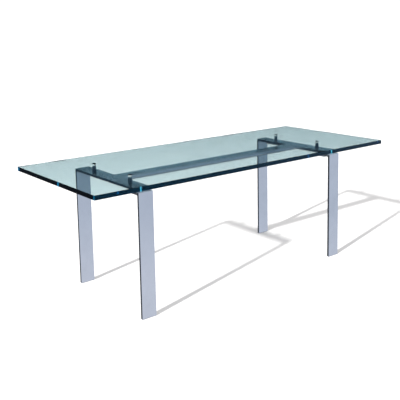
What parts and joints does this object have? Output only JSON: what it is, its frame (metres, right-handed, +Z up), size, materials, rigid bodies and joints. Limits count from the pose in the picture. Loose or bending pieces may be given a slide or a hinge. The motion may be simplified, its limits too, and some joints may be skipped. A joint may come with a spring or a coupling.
{
  "type": "extendable dining table",
  "caption": "Rectangular clear glass dining table on a mirror-polished flat-bar H base, with pull-out leaf supports hidden under the frame.",
  "frame": {"origin": "on the floor, under the middle of the glass top", "axes": "+X along the table's length, +Y across its width from front to back, +Z up"},
  "size_m": [2.2, 0.9, 0.761],
  "materials": {
    "clear_glass": "clear float glass, polished edges that look dark green-blue",
    "polished_steel": "mirror polished",
    "post_steel": "turned and polished",
    "satin_steel": "satin",
    "zinc_screw": "bright zinc plated",
    "grey_nylon": "matt",
    "clear_nylon": "natural nylon, satin",
    "black_rubber": "matt"
  },
  "bodies": {
    "base": {"glass_top": "clear_glass", "centre_beam": "polished_steel", "crossbar_left": "polished_steel", "crossbar_right": "polished_steel", "leg_left_front": "polished_steel", "leg_left_back": "polished_steel", "leg_right_front": "polished_steel", "leg_right_back": "polished_steel", "foot_pad_left_front": "grey_nylon", "foot_pad_left_back": "grey_nylon", "foot_pad_right_front": "grey_nylon", "foot_pad_right_back": "grey_nylon", "post_left_front": "post_steel", "post_left_back": "post_steel", "post_right_front": "post_steel", "post_right_back": "post_steel", "glass_bush_left_front": "clear_nylon", "glass_bush_left_back": "clear_nylon", "glass_bush_right_front": "clear_nylon", "glass_bush_right_back": "clear_nylon", "cap_washer_left_front": "clear_nylon", "cap_washer_left_back": "clear_nylon", "cap_washer_right_front": "clear_nylon", "cap_washer_right_back": "clear_nylon", "cap_left_front": "post_steel", "cap_left_back": "post_steel", "cap_right_front": "post_steel", "cap_right_back": "post_steel", "post_screw_left_front": "zinc_screw", "post_screw_left_back": "zinc_screw", "post_screw_right_front": "zinc_screw", "post_screw_right_back": "zinc_screw", "guide_front": "satin_steel", "guide_back": "satin_steel", "guide_screw_front_1": "zinc_screw", "guide_screw_front_2": "zinc_screw", "guide_screw_front_3": "zinc_screw", "guide_screw_front_4": "zinc_screw", "guide_screw_front_5": "zinc_screw", "guide_screw_back_1": "zinc_screw", "guide_screw_back_2": "zinc_screw", "guide_screw_back_3": "zinc_screw", "guide_screw_back_4": "zinc_screw", "guide_screw_back_5": "zinc_screw", "stop_pin_left": "zinc_screw", "stop_pin_right": "zinc_screw"},
    "left_leaf_support": {"runner_left": "satin_steel", "rest_bar_left": "satin_steel", "rest_bar_screw_left_front": "zinc_screw", "rest_bar_screw_left_back": "zinc_screw", "rest_pad_left_front": "black_rubber", "rest_pad_left_back": "black_rubber"},
    "right_leaf_support": {"runner_right": "satin_steel", "rest_bar_right": "satin_steel", "rest_bar_screw_right_front": "zinc_screw", "rest_bar_screw_right_back": "zinc_screw", "rest_pad_right_front": "black_rubber", "rest_pad_right_back": "black_rubber"}
  },
  "joints": [
    {"name": "left_support_slide", "type": "slide", "parent": "base", "child": "left_leaf_support", "axis": [-1, 0, 0], "range_m": [0, 0.51]},
    {"name": "right_support_slide", "type": "slide", "parent": "base", "child": "right_leaf_support", "axis": [1, 0, 0], "range_m": [0, 0.51]}
  ]
}
